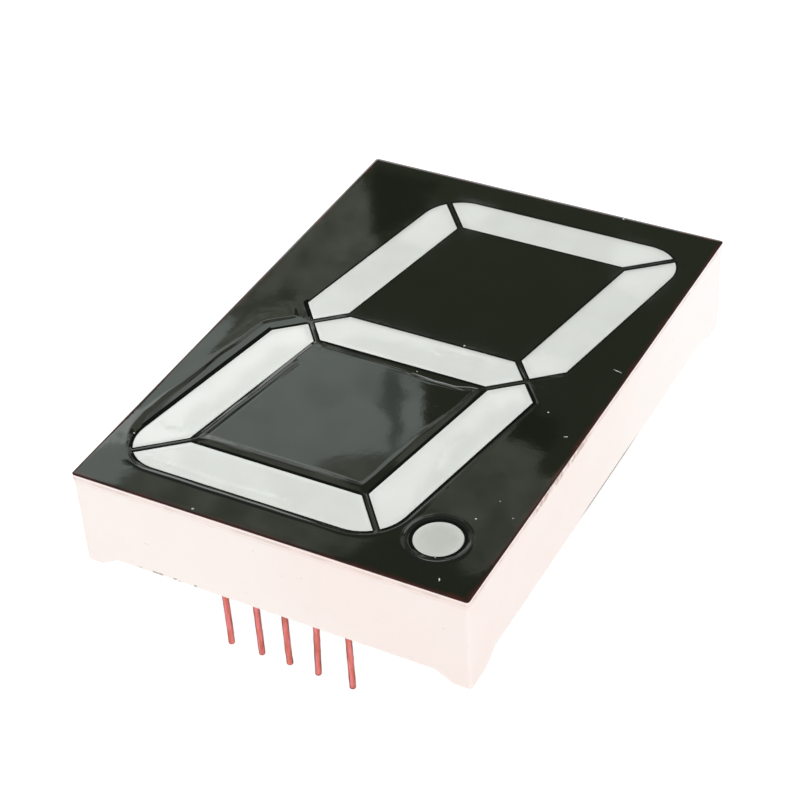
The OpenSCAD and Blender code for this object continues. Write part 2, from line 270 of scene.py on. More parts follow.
def add_turned(shape, centre, profile, sides=32):
    """A ring turned about an upright axis from a closed profile of (radius, level)."""
    rings = []
    for k in range(sides):
        turn = 2 * math.pi * k / sides
        out = Vector((math.cos(turn), math.sin(turn), 0))
        rings.append([shape.verts.new((Vector((*centre, z)) + out * r) * MM) for r, z in profile])
    for k, ring in enumerate(rings):
        for j in range(len(profile)):
            shape.faces.new((ring[j], ring[j - 1], rings[k - 1][j - 1], rings[k - 1][j]))


board_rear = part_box("circuit_board")[0].z / MM
track_w, track_t = 0.7, 0.035
pin_at = {}
for i in range(1, 11):
    low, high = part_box(f"pin_{i}")
    pin_at[i] = tuple((low + high).xy / 2 / MM)
# Each signal is the pin that its track starts from and the corners of the route; the
# links branch off these
signals = [(1, (-5.08, -19), (-10.6, -13.5)),
           (2, (-2.54, -19.6)),
           (4, (2.54, -19), (6.6, -15), (6.6, -11.4)),
           (5, (5.08, -20.4), (7.0, -18.5), (9.2, -18.5)),
           (6, (5.08, 18), (9.2, 13.9), (9.2, 11.2)),
           (7, (2.54, 19.6)),
           (9, (-2.54, 17.2), (-4.4, 15.3), (-4.4, 1.4)),
           (10, (-5.08, 18), (-7.6, 15.5), (-7.6, 13)),
           (3, (0, -19), (0.9, -18.1), (0.9, 2), (-0.9, 3.8), (-0.9, 18.1), (0, 19), (0, 21.59))]
links = [((0.9, -5), (-7.4, -5), (-8.9, -6.5)),
         ((0.9, -3.4), (8.2, -3.4)),
         ((-0.9, 5.2), (7.4, 5.2), (9.4, 7.2)),
         ((-0.9, 6.8), (-3.0, 6.8)),
         ((-4.4, 9.6), (-7.2, 9.6))]

# Links are thinner than the tracks they meet and pads thicker, so that no two of their
# flat faces lie in one plane
link_t, pin_pad_t, end_pad_t = 0.8 * track_t, 1.2 * track_t, 1.3 * track_t
tracks = bmesh.new()
for pin, *route in signals:
    add_track(tracks, [pin_at[pin], *route], track_w, board_rear, track_t)
for route in links:
    add_track(tracks, route, track_w, board_rear, link_t)
bmesh.ops.recalc_face_normals(tracks, faces=tracks.faces)
masked = Finish("masked_copper")
masked.set(
    Base_Color=masked.place.grain(0.5, 3).colour((0.035, 0.19, 0.075, 1), (0.06, 0.27, 0.12, 1)),
    Roughness=0.22 + 0.18 * masked.place.grain(1.2, 2),
    Normal=(0.004 * masked.place.grain(4, 2)).relief(),
)
add_piece("board_tracks", tracks, masked, "board_laminate")

pads = bmesh.new()
for place in pin_at.values():
    add_turned(pads, place, [(0.5, board_rear), (0.5, board_rear - pin_pad_t),
                             (0.9, board_rear - pin_pad_t), (0.96, board_rear)])
ends = [route[-1] for pin, *route in signals if pin != 3] + [link[-1] for link in links]
for place in ends:
    add_turned(pads, place, [(0.2, board_rear), (0.22, board_rear - end_pad_t),
                             (0.5, board_rear - end_pad_t), (0.55, board_rear)])
bmesh.ops.recalc_face_normals(pads, faces=pads.faces)
tin = Finish("solder")
dull = tin.place.grain(1.5, 4)
tin.set(
    Base_Color=dull.colour((0.62, 0.63, 0.65, 1), (0.42, 0.42, 0.42, 1)),
    Metallic=1.0,
    Roughness=0.2 + 0.3 * dull,
    Normal=(0.012 * tin.place.grain(3, 3)).relief(),
)
add_piece("board_pads", pads, tin, "solder")
dress("solder_joints", tin)

# ---- Dice and bond wires ------------------------------------------------------------
# Sawn semiconductor dice stuck on the board, each with one gold wire, sealed in the
# resin of the light guides.
dice = Finish("die_semiconductor")
saw = dice.place.grain(30, 2, (1, 1, 0.2))
dice.set(Base_Color=saw.colour((0.55, 0.25, 0.10, 1), (0.36, 0.17, 0.08, 1)), Roughness=0.3 + 0.3 * saw)
dress("led_dice", dice)

gold = Finish("bond_wire")
drawn = gold.place.grain(40, 2)
gold.set(
    Base_Color=drawn.colour((0.86, 0.62, 0.22, 1), (0.70, 0.46, 0.15, 1)),
    Metallic=1.0,
    Roughness=0.2 + 0.2 * drawn,
)
dress("bond_wires", gold)

# ---- Pins ---------------------------------------------------------------------------
# Ten lengths of round wire with a copper-red coat, cut at the tip and pressed into the
# board by hand: no two stand quite alike. Two lines of painted shade run down each wire,
# on the sides that flank the camera's view of it, and painted shade rings its cut tip.
pin_r, wire_sides, edge_shade_turn = 0.25, 24, 0.51
pin_tip = cad_box[0].z / MM
pin_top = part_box("pin_1")[1].z / MM
head_r = 0.5
root_level = board_rear - 0.75
wire = Finish("pin_metal")
streak = wire.place.grain(5, 3, (1, 1, 0.14)).step(0.36, 0.64)
smut = wire.place.grain(1.1, 4, (1, 1, 0.5))
painted_edge_shade = wire.place.node("Attribute", {"attribute_name": "painted_edge_shade"}, {}, "Fac")
at_tip = wire.z.step(pin_tip + 0.45, pin_tip + 0.05) * 0.35
at_root = wire.z.step(root_level - 1.2, root_level - 0.4) * 0.3
# The wire is darker towards its tip and its root and in smutty patches, and carries the painted shade of its
# edge lines
scuff_and_shade = at_tip + at_root + smut.step(0.5, 0.7) * 0.3 + painted_edge_shade * (0.45 + 0.6 * streak)
wire_red = streak.colour((0.80, 0.235, 0.245, 1), (0.66, 0.155, 0.105, 1))
wire.set(
    Base_Color=scuff_and_shade.node("Clamp", {}, {0: scuff_and_shade}).colour(wire_red, (0.17, 0.025, 0.03, 1)),
    Metallic=0.45,
    Specular_IOR_Level=0.15,
    Roughness=0.34 + 0.2 * smut,
    Normal=(0.016 * streak + 0.008 * wire.place.grain(6, 2)).relief(),
)

# How far each pin stands to the right of its hole just below the board and at its tip,
# and how much shorter than the longest it is
pin_leans = {1: (0.02, 0.07, 0.26), 2: (0.12, 0.15, 0.2), 3: (-0.03, -0.01, 0.2), 4: (0.09, -0.12, 0.13),
             5: (0.2, 0.21, 0), 6: (-0.05, 0.04, 0.1), 7: (0.03, -0.06, 0.22), 8: (0.08, 0.05, 0),
             9: (-0.04, 0.06, 0.16), 10: (0.02, -0.09, 0.07)}
for i, place in pin_at.items():
    near, far, short = pin_leans[i]
    tip = pin_tip + short
    rings = [(0.001, pin_top), (head_r - 0.06, pin_top), (head_r, pin_top - 0.06)]
    rings += [(head_r, pin_top - 0.3), (pin_r, pin_top - 0.3)]
    rings += [(pin_r, z) for z in np.linspace(root_level, tip + 0.13, 24)]
    rings += [(0.243, tip + 0.05), (0.226, tip + 0.015), (0.19, tip), (0.001, tip)]
    shape = bmesh.new()
    edge_shade_layer = shape.verts.layers.float.new("painted_edge_shade")
    loops = []
    for r, z in rings:
        share = min(1, max(0, (root_level - z) / (root_level - pin_tip)))
        out = np.interp(share, [0, 0.22, 1], [0, near, far])
        wave = Vector((noise.noise((i, z * 0.6, 0)), noise.noise((i, z * 0.6, 9)), 0)) * 0.07 * share
        swell = 1 + 0.07 * noise.noise((i, z * 1.5, 4)) if share else 1
        centre = Vector((place[0] + out, place[1], z)) + wave
        loop = []
        for a in np.linspace(0, 2 * math.pi, wire_sides, endpoint=False):
            vert = shape.verts.new((centre + Vector((math.cos(a), math.sin(a), 0)) * r * swell) * MM)
            side = math.cos(a - edge_shade_turn + 0.12 * noise.noise((i, z * 0.5, 7)))
            at_cut = z < tip + 0.1 and r > 0.15
            vert[edge_shade_layer] = max(0.8 * at_cut, np.interp(side, [-0.8, -0.5, 0.62, 0.9], [1, 0, 0, 1]))
            loop.append(vert)
        loops.append(loop)
    for upper, lower in zip(loops, loops[1:]):
        for k in range(wire_sides):
            shape.faces.new((upper[k - 1], lower[k - 1], lower[k], upper[k])).smooth = True
    shape.faces.new(loops[0])
    shape.faces.new(loops[-1][::-1])
    bmesh.ops.recalc_face_normals(shape, faces=shape.faces)
    add_piece(f"wire_pin_{i}", shape, wire, "pin_metal", f"pin_{i}")


# ---- Light guides -------------------------------------------------------------------
# Clear resin with a white diffuser, cast into the chambers. It shrank a little as it
# set, so that each window is faintly dished, and the film over it has a few creases.
def open_top(node, spacing):
    """A copy of a CAD node without its flat top, and the rims that this leaves."""
    shape = bmesh.new()
    shape.from_mesh(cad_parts[node].data)
    bmesh.ops.remove_doubles(shape, verts=shape.verts, dist=MM / 1000)
    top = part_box(node)[1].z
    flat = [face for face in shape.faces if all(v.co.z > top - MM / 500 for v in face.verts)]
    bmesh.ops.delete(shape, geom=flat, context="FACES_ONLY")
    bmesh.ops.delete(shape, geom=[edge for edge in shape.edges if not edge.link_faces], context="EDGES")
    for edge in [edge for edge in shape.edges if len(edge.link_faces) == 1]:
        cuts = math.ceil(edge.calc_length() / MM / spacing) - 1
        if cuts > 0:
            bmesh.ops.subdivide_edges(shape, edges=[edge], cuts=cuts)
    beside = {}
    for edge in shape.edges:
        if len(edge.link_faces) == 1:
            for v in edge.verts:
                beside.setdefault(v, []).append(edge.other_vert(v))
    rims = []
    while beside:
        rim = [next(iter(beside))]
        while rim[-1] in beside:
            onward = [v for v in beside.pop(rim[-1]) if v in beside]
            if not onward:
                break
            rim.append(onward[0])
        rims.append(rim)
    return shape, rims


def rim_line(rim):
    """The corners of a rim as complex numbers in millimetres, anticlockwise."""
    line = np.array([complex(v.co.x, v.co.y) for v in rim]) / MM
    area = (line.conj() * np.roll(line, -1)).imag.sum()
    return line if area > 0 else line[::-1]


def clearance(points, lines):
    """Distance from each point to the nearest of some closed lines."""
    nearest = np.full(len(points), np.inf)
    for line in lines:
        ahead = np.roll(line, -1) - line
        run = points[:, None] - line
        share = np.clip((run * ahead.conj()).real / abs(ahead) ** 2, 0, 1)
        nearest = np.minimum(nearest, abs(run - share * ahead).min(axis=1))
    return nearest


def offset_points(line, reach):
    """Points at one reach outside a closed line, or inside it where reach is negative."""
    ahead = np.roll(line, -1) - line
    outward = np.roll(-1j * ahead / abs(ahead), 1)
    turn = np.angle(np.roll(outward, -1) / outward)
    points = []
    for corner, out, bend in zip(line, outward, turn):
        steps = max(1, math.ceil(abs(bend) / 0.3))
        points += [corner + reach * out * np.exp(1j * bend * k / steps) for k in range(steps + 1)]
    return points


def thin_out(points, gap):
    """Drops the points that share a square of side gap with an earlier one."""
    kept = {}
    for p in points:
        kept.setdefault((round(p.real / gap), round(p.imag / gap)), p)
    return list(kept.values())


def within(points, line):
    """Which points lie inside a closed line: it turns right round those."""
    turns = np.angle((np.roll(line, -1) - points[:, None]) * (line - points[:, None]).conj())
    return abs(turns.sum(axis=1)) > 3


def cover(shape, rims, inner, height):
    """Closes a shape inside its first rim and outside the others with a fine sheet,
    whose level is height(points). Returns its faces and their middles."""
    corners = [v for rim in rims for v in rim]
    flat = [v.co.xy / MM for v in corners] + [Vector((p.real, p.imag)) for p in inner]
    edges, first = [], 0
    for rim in rims:
        edges += [(first + k, first + (k + 1) % len(rim)) for k in range(len(rim))]
        first += len(rim)
    points, _, faces, sources, *_ = geometry.delaunay_2d_cdt(flat, edges, [], 1, 1e-6)
    places = np.array([complex(*p) for p in points])
    levels = height(places)
    middles = places[np.array(faces)].mean(axis=1)
    holes = np.zeros(len(faces), bool)
    for rim in rims[1:]:
        holes |= within(middles, rim_line(rim))
    verts = []
    for p, source, level in zip(points, sources, levels):
        known = [k for k in source if k < len(corners)]
        vert = corners[known[0]] if known else shape.verts.new()
        vert.co = Vector((*p, level)) * MM
        verts.append(vert)
    made = []
    for face, hole in zip(faces, holes):
        if not hole:
            made.append(shape.faces.new([verts[k] for k in face]))
            made[-1].smooth = True
    bmesh.ops.recalc_face_normals(shape, faces=shape.faces)
    return made, middles[~holes]


def swell_at(points, length, seed):
    """Soft hand-made unevenness between about -1 and 1, that long from crest to crest."""
    return np.array([noise.noise((p.real / length, p.imag / length, seed)) for p in points])


def field(low, high, step):
    """A lattice of points in staggered rows over a box."""
    rows = np.arange(low.imag, high.imag, step * 0.87)
    columns = np.arange(low.real, high.real, step)
    return [complex(x + (k % 2) * step / 2, y) for k, y in enumerate(rows) for x in columns]


guide_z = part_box("segment_a")[1].z / MM

# The creases over four of the windows, as the points that each runs through
creases = {
    "segment_g": [(1.4, 0.5), (2.1, 0.3), (2.9, 0.45), (3.6, 0.4), (4.6, 0.7), (5.4, 0.6)],
    "segment_c": [(8.1, -7.4), (7.8, -8.6), (7.8, -9.9), (8.2, -11.8)],
    "segment_d": [(-12, -19.4), (-9, -19.5), (-6, -19.7), (-3, -19.6), (0, -19.4)],
    "segment_e": [(-13.4, -15.4), (-12.6, -15.8), (-12, -15.5), (-11.5, -15.6)],
}


def crease_points(node):
    """Points every 0.1 mm along the crease of a window."""
    x, y = np.array(creases[node]).T
    far = np.insert(np.cumsum(np.hypot(np.diff(x), np.diff(y))), 0, 0)
    steps = np.arange(0, far[-1], 0.1)
    return np.interp(steps, far, x) + 1j * np.interp(steps, far, y)


def guide_level(lines, crease):
    """The level of the face of a light guide: dished, with soft shoulders at its rim."""
    def level(points):
        inwards = clearance(points, lines)
        dish = 0.0025 * np.exp(-inwards / 0.4) - 0.010 * np.exp(-inwards / 0.08)
        fold = np.zeros(len(points))
        if len(crease):
            beside = abs(points[:, None] - crease).min(axis=1)
            fold = 0.005 * np.exp(-(beside / 0.09) ** 2)
        return guide_z - 0.009 + dish + fold + 0.0016 * swell_at(points, 3.4, 3)
    return level


def guide_finish(name, pale, deep):
    """Milky resin: paler where it is thick, with wisps of diffuser, a glossy face and painted shade."""
    resin = Finish(name)
    wisp = resin.place.grain(0.35, 4)
    fleck = resin.place.grain(5, 2).step(0.72, 0.8) * 0.25
    shade = resin.place.node("Attribute", {"attribute_name": "shade"}, {}, "Fac")
    wisp_colour = wisp.step(0.3, 0.7).colour(deep, pale)
    resin.set(
        Base_Color=shade.colour(fleck.colour(wisp_colour, (0.5, 0.53, 0.48, 1)), (0.05, 0.055, 0.05, 1)),
        Roughness=0.02 + 0.03 * resin.place.grain(0.6, 3),
        Normal=(0.0007 * resin.place.grain(0.5, 2) + 0.0003 * resin.place.grain(5, 2)).relief(),
        Subsurface_Weight=0.15,
        Subsurface_Radius=(0.8 * MM, 1.0 * MM, 0.8 * MM),
        IOR=1.53,
    )
    return resin


segment_resin = guide_finish("diffuser_resin", (0.80, 0.825, 0.785, 1), (0.765, 0.79, 0.745, 1))
dot_resin = guide_finish("dot_resin", (0.70, 0.725, 0.675, 1), (0.63, 0.655, 0.61, 1))

# Each window's face carries painted shade along the rims on its side away from the camera,
# more so in the upper windows, where the film stands higher above the resin; the dot's
# face is also painted darker towards its middle
away = complex(-0.49, 0.87)
nudge = 0.03
for node in [f"segment_{letter}" for letter in "abcdefg"] + ["decimal_point"]:
    shape, rims = open_top(node, 0.3)
    lines = [rim_line(rim) for rim in rims]
    inner = []
    for reach in (0.05, 0.11, 0.2, 0.35, 0.6):
        ring = np.array(offset_points(lines[0], -reach))
        inner += list(ring[clearance(ring, lines) > reach * 0.97])
    low, high = [complex(*corner.xy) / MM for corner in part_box(node)]
    spread = np.array(field(low, high, 0.5))
    inner += list(spread[within(spread, lines[0]) & (clearance(spread, lines) > 0.75)])
    crease = crease_points(node) if node in creases else np.array([])
    inner += [p + side for side in (-0.18, -0.09, 0, 0.09, 0.18) for p in crease]
    cover(shape, rims, thin_out(inner, 0.04), guide_level(lines, crease))
    shade = shape.verts.layers.float.new("shade")
    corners = np.array([complex(v.co.x, v.co.y) for v in shape.verts]) / MM
    inwards = clearance(corners, lines)
    further = clearance(corners + nudge * away * within(corners, lines[0]), lines)
    far_side = np.clip((inwards - further) / nudge, 0, 1)
    depth = np.interp(corners.imag, [-2, 2, 17], [0.08, 0.3, 0.5]) * far_side * np.exp(-inwards / 0.16)
    if node == "decimal_point":
        depth = np.maximum(depth, 0.14 * np.clip(inwards / 0.9, 0, 1))
    for v, amount in zip(shape.verts, depth):
        v[shade] = amount
    if node == "decimal_point":
        add_piece("dot_guide", shape, dot_resin, "dot_resin", node)
    else:
        add_piece(f"{node}_guide", shape, segment_resin, "diffuser_resin", node)

# ---- Face film ----------------------------------------------------------------------
# A thin glossy film printed black on its rear, with clear windows cut over the light
# guides. It sinks towards each window, from a low ridge where its glue ends, and it
# isn't quite flat anywhere; its cut edges show a trace of dark red.
film_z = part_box("face_mask")[1].z / MM
digit_lean = 0.173
shape, rims = open_top("face_mask", 0.22)
rims.sort(key=lambda rim: -max(v.co.y for v in rim))
edge_line = rim_line(rims[0])
window_lines = sorted([rim_line(rim) for rim in rims[1:]], key=lambda line: np.ptp(line.real))
dot_line, digit_lines = window_lines[0], window_lines[1:]


def film_level(points):
    """The level of the film: sunk at the windows, ridged where its glue ends, wavy."""
    # How far each point lies to the side of the leaning digit's own middle line, and
    # whether it is in one of the two loops, by segment g in the lower one or by e
    leant = points.real - digit_lean * points.imag
    up_or_down = abs(abs(points.imag) - 9.24)
    in_loop = np.clip((8.5 - abs(leant)) / 1.2, 0, 1) * np.clip((8.6 - up_or_down) / 1.2, 0, 1)
    by_g = np.clip((points.imag + 9) / 4, 0, 1) * in_loop
    by_e = in_loop * np.clip((-5.6 - leant) / 0.7, 0, 1)
    # How far from a window the glue ends, and how far past that each point lies
    outside = 0.36 + np.interp(leant, [-10.5, -7], [1, 0]) * np.interp(points.imag, [-18.4, -15], [0.1, 1])
    inside = np.interp(leant, [-7.2, -6.2], [0.36, 0.86]) + by_g * np.interp(
        leant, [1, 3.5, 5.2, 6.4], [-0.06, 0.2, 0.2, -0.3])
    glue_end = outside + (inside - outside) * in_loop
    to_dot, to_digit = clearance(points, [dot_line]), clearance(points, digit_lines)
    by_dot = to_dot / 0.5 < to_digit / glue_end
    glue_end = np.where(by_dot, 0.5, glue_end) * (1 + 0.12 * swell_at(points, 2.6, 1))
    past = np.where(by_dot, to_dot, to_digit) - glue_end
    # The film sinks inside that line and is ridged on it, in the lower half alone
    lower_half = np.clip((1.7 - points.imag) / 2.5, 0, 1)
    sink = 0.025 * np.clip(past / glue_end, -1, 0)
    near, far = np.interp(leant, [-11, -9], [0.32, 0.1]), np.interp(leant, [-11, -9], [0.8, 0.17])
    strong = np.interp(leant, [-11, -9, -7.4, -6, 4, 6.5, 11], [1.05, 0.7, 0.7, 1, 1, 0.4, 0.15])
    strong *= 1 - 0.85 * by_g * np.interp(leant, [-6.5, -5.5, 1, 3], [0, 1, 1, 0])
    by_top = np.interp(points.imag, [-5.4, -4.6], [0, 1])
    strong = np.where(by_dot, 0.6, strong * (1 - by_e * (0.35 + 0.65 * by_top)))
    ridge = 0.024 * strong * np.exp(-((past - 0.05) / np.where(past < 0.05, near, far)) ** 2)
    groove = -0.008 * by_e * (1 - by_top) * np.exp(-((to_digit - 0.85) / 0.13) ** 2)
    roll_off = -0.015 * np.exp(-clearance(points, [edge_line]) / 0.06)
    waves = 0.004 * swell_at(points, 7, 5) + 0.0015 * swell_at(points, 3, 8)
    return film_z - 0.031 + (sink + ridge + groove) * lower_half + roll_off + waves


inner = []
for reach in (0.06, 0.12, 0.19, *np.arange(0.26, 1.65, 0.05), 1.7):
    ring = np.array([p for line in window_lines for p in offset_points(line, reach)])
    inner += list(ring[clearance(ring, window_lines) > reach * 0.985])
for reach in (0.05, 0.12, 0.25):
    inner += offset_points(edge_line, -reach)
low, high = [complex(*corner.xy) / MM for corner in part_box("face_mask")]
spread = np.array(field(low, high, 0.6))
outside = np.ones(len(spread), bool)
for line in window_lines:
    outside &= ~within(spread, line)
spread = spread[outside & (clearance(spread, window_lines) > 1.4)]
inner += list(spread)
inner = np.array(inner)
half = high.real - 0.04, high.imag - 0.04
inner = inner[(abs(inner.real) < half[0]) & (abs(inner.imag) < half[1])]
film_faces, middles = cover(shape, rims, thin_out(inner, 0.04), film_level)

# How wide the matt black band round each window is: ink, widened into painted shade of the
# film's step down to the window
nearest, second = np.sort([clearance(middles, [line]) for line in window_lines], axis=0)[:2]
ink_and_shade_width = np.where((second < 0.6) | (middles.imag > 0.5) | (middles.imag < -20.2), 0.12, 0.26)
ink_and_shade_width[abs(middles - complex(-10.8, 1.2)) < 1.3] = 0.36
leant = middles.real - digit_lean * middles.imag
by_e = (second > 0.8) & (middles.imag < -2) & (middles.imag > -16.5)
ink_and_shade_width[by_e & (leant < -11)] = 0.42
ink_and_shade_width[by_e & (leant < -6.5) & (leant > -11)] = 0.05
for k in np.flatnonzero(nearest < ink_and_shade_width):
    film_faces[k].material_index = 1

film = Finish("face_film")
past_side = film.x.maths("ABSOLUTE", film.x, 0) - high.real
past_end = film.y.maths("ABSOLUTE", film.y, 0) - high.imag
from_edge = past_side.maths("MAXIMUM", past_side, past_end)
red_edge = (from_edge + 0.7 * film.place.grain(0.8, 3)).step(-0.1, 0.5)
smear = film.place.grain(0.22, 4)
hair = film.place.grain(2.2, 2, (0.25, 1, 1)).step(0.70, 0.78)
film_black = smear.colour((0.0045, 0.0052, 0.0035, 1), (0.0075, 0.0085, 0.006, 1))
black_or_red = red_edge.colour(film_black, (0.055, 0.010, 0.009, 1))

# Three pale strips in the lower loop along the film's ridges: painted highlights where the
# ridges catch the light
along = film.x.step(-9.9, -9.2) * (1 - film.x.step(-6, -4.6) * 0.3) * (1 - film.x.step(1.6, 3.2))
over_d = film.y.band(-15.98, -15.78, -15.5, -15.26) * along
short = film.x.band(1.4, 2.2, 5.2, 5.7) * film.place.grain(2.5, 2).step(0.2, 0.4)
short_line = film.y.band(-3.07, -3.0, -2.9, -2.83) * short * 0.7
left_part = film.x.band(-8.3, -7.2, -3, 1.5) * (0.14 + 0.14 * film.place.grain(1.3, 3))
under_g = film.y.band(-2.8, -2.6, -2.3, -2.1) * left_part
ridge_highlight = over_d * (0.6 + 0.4 * film.place.grain(1.1, 3)) + short_line + under_g
film.set(
    Base_Color=ridge_highlight.colour(black_or_red, (0.12, 0.125, 0.115, 1)),
    Roughness=0.02 + 0.03 * smear + 0.04 * hair,
    Normal=(0.0010 * film.place.grain(0.9, 2) + 0.0003 * film.place.grain(5, 2)).relief(),
    IOR=1.5,
)
printed_film = add_piece("printed_film", shape, film, "face_film", "face_mask")

# The band at the cut edge of each window is matt black: ink, and painted shade where it
# is widened
ink_and_shade = Finish("window_ink_and_shade")
ink_and_shade.set(
    Base_Color=ink_and_shade.place.grain(1.5, 2).colour((0.004, 0.005, 0.004, 1), (0.012, 0.013, 0.011, 1)),
    Roughness=0.9,
    Specular_IOR_Level=0.0,
)
printed_film.data.materials.append(ink_and_shade.material)

# ---- Dust ---------------------------------------------------------------------------
# A few grains that static holds on the film, and one short bright scratch by the right
# edge; each lies on the film.
dust = bmesh.new()
# Each grain's place, its size, and how far it is turned in degrees; the last is the
# scratch
grains = [(12.34, -2.75, 0.11, 0), (14.71, -4.8, 0.2, 28), (12.72, -15.58, 0.1, 0),
          (15.05, -14.45, 0.08, 0), (13.45, -13.2, 0.07, 0), (13.22, -22.12, 0.2, 118),
          (-14.39, -17.52, 0.12, 40), (-5.85, -22.93, 0.13, 20), (3.09, 2.04, 0.12, 0),
          (1.25, -2.31, 0.08, 0), (11.95, -20.27, 0.07, 0), (7.31, 23.1, 0.14, 10),
          (15.0, 3.9, 0.5, -12)]
grain_sides = 8
for k, (x, y, size, turn) in enumerate(grains):
    level = film_level(np.array([complex(x, y)]))[0]
    slim = np.interp(size, [0.14, 0.2, 0.5], [0.7, 0.35, 0.09])
    ring = []
    for j in range(grain_sides):
        a = 2 * math.pi * j / grain_sides
        r = size * (0.8 + 0.4 * noise.noise((k, j, 0.5)))
        spot = complex(r * math.cos(a), r * slim * math.sin(a)) * np.exp(1j * math.radians(turn))
        spot += complex(x, y)
        ring.append(dust.verts.new(Vector((spot.real, spot.imag, level)) * MM))
    peak = dust.verts.new(Vector((x, y, level + 0.012)) * MM)
    for j in range(grain_sides):
        dust.faces.new((ring[j - 1], ring[j], peak))
    dust.faces.new(ring[::-1])
lint = Finish("dust")
lint.set(Base_Color=lint.place.grain(8, 2).colour((0.75, 0.76, 0.72, 1), (0.5, 0.5, 0.46, 1)), Roughness=0.8)
add_piece("dust_grains", dust, lint, "diffuser_resin")

# ---- Light table --------------------------------------------------------------------
# A plain white sheet, lit evenly from below. The display stands on it, on the tips of
# its longest pins.
def add_scenery(name, shape, finish):
    """Makes a thing that stands about the display and is no part of it."""
    thing = make_object(name, shape, finish)
    return thing


sheet = Finish("light_table")
sheet.set(Base_Color=(0.35, 0.35, 0.35, 1), Roughness=0.9, Emission_Color=(1, 1, 1, 1), Emission_Strength=0.9)
top_sheet = bmesh.new()
bmesh.ops.create_grid(top_sheet, x_segments=1, y_segments=1, size=3)
table = add_scenery("light_table", top_sheet, sheet)
table.location.z = pin_tip * MM


# ---- Studio light -------------------------------------------------------------------
# A large panel overhead, two low ones on the sides towards the camera, and a dim room.
# The right panel isn't mirrored, or the black film would read as white from the left.
def add_panel(name, place, width, depth, power, colour=(1, 1, 1)):
    """A rectangular soft light that faces the display."""
    light = bpy.data.lights.new(name, "AREA")
    light.shape, light.size, light.size_y = "RECTANGLE", width, depth
    light.energy, light.color = power, colour
    lamp = bpy.data.objects.new(name, light)
    lamp.location = place
    lamp.rotation_euler = (-Vector(place)).to_track_quat("-Z", "Y").to_euler()
    bpy.context.scene.collection.objects.link(lamp)
    return lamp


add_panel("overhead_panel", (0.05, -0.2, 0.9), 0.9, 0.6, 4.85)
add_panel("front_panel", (-0.25, -0.8, 0.22), 0.8, 0.35, 1.6, (1, 0.98, 0.965))
right_panel = add_panel("right_panel", (0.8, -0.1, 0.2), 0.6, 0.35, 1.9, (1, 0.985, 0.98))
right_panel.visible_glossy = False

world = bpy.data.worlds.new("room")
world.use_nodes = True
world.node_tree.nodes["Background"].inputs["Color"].default_value = (0.96, 0.98, 1, 1)
world.node_tree.nodes["Background"].inputs["Strength"].default_value = 0.22
bpy.context.scene.world = world
bpy.context.scene.view_settings.view_transform = "Standard"


# ---- Lit curtain --------------------------------------------------------------------
# A patchy lit cloth behind on the left, which the glossy face mirrors. Its places are
# in millimetres on the face, and lie on the camera's mirrored sight lines through them.
def share_within(points, corners, soft):
    """How far points lie inside a closed line, going from 0 to 1 over a soft edge."""
    line = np.array([complex(*corner) for corner in corners])
    return np.clip(0.5 + np.where(within(points, line), 1, -1) * clearance(points, [line]) / soft, 0, 1)


eye = camera.location / MM
mirrored_eye = Vector((eye.x, eye.y, 2 * film_z - eye.z))
# The parts of the cloth that are half lit, and within them the brightly lit ones
lit_part = [(-30, 20.5), (-16, 20), (-13.5, 17.5), (-12.2, 15.2), (-11.2, 13.3), (-9.5, 12), (-9, -0.5),
            (-4, -0.8), (1, -1.4), (1.5, -3), (2, -3.9), (2.9, -4.9), (3.6, -5.9), (4.7, -7.6),
            (5.3, -8.6), (6.6, -9), (9, -8), (8.8, -4.8), (9.6, -5), (9.9, -6.8), (13.9, -6.9),
            (14.3, -9.6), (30, -9.4), (30, -19), (14, -20.5), (12, -17), (9.4, -16), (7, -18.5),
            (5.5, -30), (-30, -30)]
bright_part = [(-30, -2.2), (-16, -2.2), (-14, -3), (-8, -2.2), (-0.6, -2.6), (1.5, -3), (2, -3.9),
               (2.9, -4.9), (3.6, -5.9), (4.7, -7.6), (5.2, -8.4), (4.8, -9.9), (4.9, -11.4),
               (3.9, -11.8), (2.4, -12.8), (1, -14.1), (0.1, -14.9), (-0.3, -15.4), (0.1, -16.6),
               (-12.2, -17.5), (-12.4, -19), (-11.8, -22), (-12, -30), (-30, -30)]
# Darker parts, with the share of the light each takes
dim_parts = [
    (0.6, [
        (-0.8, -2.9), (0.2, -3.1), (1.2, -5), (2.1, -5.4), (2.3, -7), (3.3, -8.6), (4.2, -10.4),
        (4.4, -12.2), (3.8, -11.4), (3, -9.9), (2.1, -8.5), (1.3, -7.6), (0.4, -7), (0.2, -5.6),
        (-0.5, -4.2)]),
    (0.12, [
        (2.2, -7.2), (2.3, -3.5), (1.6, -2.8), (0.3, -3), (1.2, -5), (2.1, -5.4)]),
    (0.14, [
        (-2.8, -3.4), (-0.5, -3.2), (0.4, -5.2), (0, -7.2), (-1.2, -6.6), (-2.6, -6.2)]),
    (0.1, [
        (-8, -11.6), (-6.2, -11.4), (-5, -12), (-6.4, -13.2), (-8.4, -13)]),
    (0.1, [
        (-5.6, -6.6), (-2.4, -6.2), (-2, -8), (-3.6, -9.2), (-5.4, -8.6)]),
    (0.45, [
        (-13.6, 3), (-11.8, 2.6), (-11.4, 0.6), (-12.4, -1), (-16.5, -2.6), (-16.5, -1), (-14.2, 0.4)]),
    (0.45, [
        (-15.6, 22), (-9, 22), (-8.6, 16), (-10.4, 13), (-12, 15.6), (-14, 18.6)]),
    (0.45, [
        (10, -3.4), (14, -3.4), (14, -6.9), (10, -6.6)]),
]
